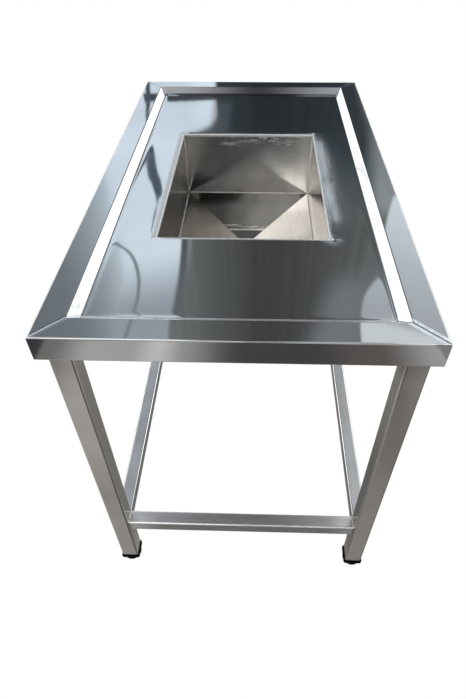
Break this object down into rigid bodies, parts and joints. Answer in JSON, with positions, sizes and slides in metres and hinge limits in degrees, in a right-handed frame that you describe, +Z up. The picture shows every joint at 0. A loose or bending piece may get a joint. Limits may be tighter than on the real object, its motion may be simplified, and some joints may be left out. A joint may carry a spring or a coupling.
{
  "type": "sink table",
  "caption": "Free-standing stainless steel sink table: raised-rim worktop, welded bowl with creased floor and strainer waste, square tube frame on adjustable feet.",
  "frame": {"origin": "on the floor under the middle of the table", "axes": "+X across the table's width to the right, +Y along its length away from the end shown in the picture, +Z up"},
  "size_m": [0.66, 1.2, 0.85],
  "materials": {
    "polished_steel": "polished stainless, faint grain",
    "bowl_steel": "satin stainless, ground at the welds",
    "tube_steel": "polished stainless tube",
    "fitting_steel": "turned and polished stainless",
    "zinc_steel": "zinc plated",
    "rubber": "matt",
    "black_plastic": "moulded, satin",
    "white_plastic": "plain"
  },
  "bodies": {
    "frame": {"worktop": "polished_steel", "bowl_wall_left": "bowl_steel", "bowl_wall_right": "bowl_steel", "bowl_wall_front": "bowl_steel", "bowl_wall_back": "bowl_steel", "bowl_floor": "bowl_steel", "waste_body": "fitting_steel", "waste_seal": "rubber", "waste_gasket": "rubber", "waste_slip_ring": "white_plastic", "waste_nut": "fitting_steel", "leg_front_left": "tube_steel", "leg_front_right": "tube_steel", "leg_back_left": "tube_steel", "leg_back_right": "tube_steel", "top_rail_left": "tube_steel", "top_rail_right": "tube_steel", "top_rail_front": "tube_steel", "top_rail_back": "tube_steel", "stretcher_left": "tube_steel", "stretcher_right": "tube_steel", "stretcher_front": "tube_steel", "stretcher_back": "tube_steel", "deck_stiffener_front": "tube_steel", "deck_stiffener_back": "tube_steel", "foot_insert_front_left": "black_plastic", "foot_insert_front_right": "black_plastic", "foot_insert_back_left": "black_plastic", "foot_insert_back_right": "black_plastic"},
    "strainer": {"strainer_plate": "fitting_steel", "strainer_knob": "fitting_steel"},
    "pad_front_left": {"foot_pad_front_left": "black_plastic"},
    "pad_front_right": {"foot_pad_front_right": "black_plastic"},
    "pad_back_left": {"foot_pad_back_left": "black_plastic"},
    "pad_back_right": {"foot_pad_back_right": "black_plastic"},
    "stem_front_left": {"foot_stem_front_left": "zinc_steel"},
    "stem_front_right": {"foot_stem_front_right": "zinc_steel"},
    "stem_back_left": {"foot_stem_back_left": "zinc_steel"},
    "stem_back_right": {"foot_stem_back_right": "zinc_steel"}
  },
  "joints": [
    {"name": "strainer_lift", "type": "slide", "parent": "frame", "child": "strainer", "axis": [0, 0, 1], "range_m": [0, 0.2]},
    {"name": "height_front_left", "type": "slide", "parent": "frame", "child": "pad_front_left", "axis": [0, 0, -1], "range_m": [0, 0.0195]},
    {"name": "height_front_right", "type": "slide", "parent": "frame", "child": "pad_front_right", "axis": [0, 0, -1], "range_m": [0, 0.0195]},
    {"name": "height_back_left", "type": "slide", "parent": "frame", "child": "pad_back_left", "axis": [0, 0, -1], "range_m": [0, 0.0195]},
    {"name": "height_back_right", "type": "slide", "parent": "frame", "child": "pad_back_right", "axis": [0, 0, -1], "range_m": [0, 0.0195]},
    {"name": "screw_front_left", "type": "hinge", "parent": "pad_front_left", "child": "stem_front_left", "pos_m": [-0.3, -0.555, 0.02], "axis": [0, 0, -1], "range_deg": [0, 4320]},
    {"name": "screw_front_right", "type": "hinge", "parent": "pad_front_right", "child": "stem_front_right", "pos_m": [0.3, -0.555, 0.02], "axis": [0, 0, -1], "range_deg": [0, 4320]},
    {"name": "screw_back_left", "type": "hinge", "parent": "pad_back_left", "child": "stem_back_left", "pos_m": [-0.3, 0.555, 0.02], "axis": [0, 0, -1], "range_deg": [0, 4320]},
    {"name": "screw_back_right", "type": "hinge", "parent": "pad_back_right", "child": "stem_back_right", "pos_m": [0.3, 0.555, 0.02], "axis": [0, 0, -1], "range_deg": [0, 4320]}
  ],
  "couplings": [
    {"joint": "height_front_left", "follows": "screw_front_left", "m_per_rad": 0.00023873},
    {"joint": "height_front_right", "follows": "screw_front_right", "m_per_rad": 0.00023873},
    {"joint": "height_back_left", "follows": "screw_back_left", "m_per_rad": 0.00023873},
    {"joint": "height_back_right", "follows": "screw_back_right", "m_per_rad": 0.00023873}
  ]
}
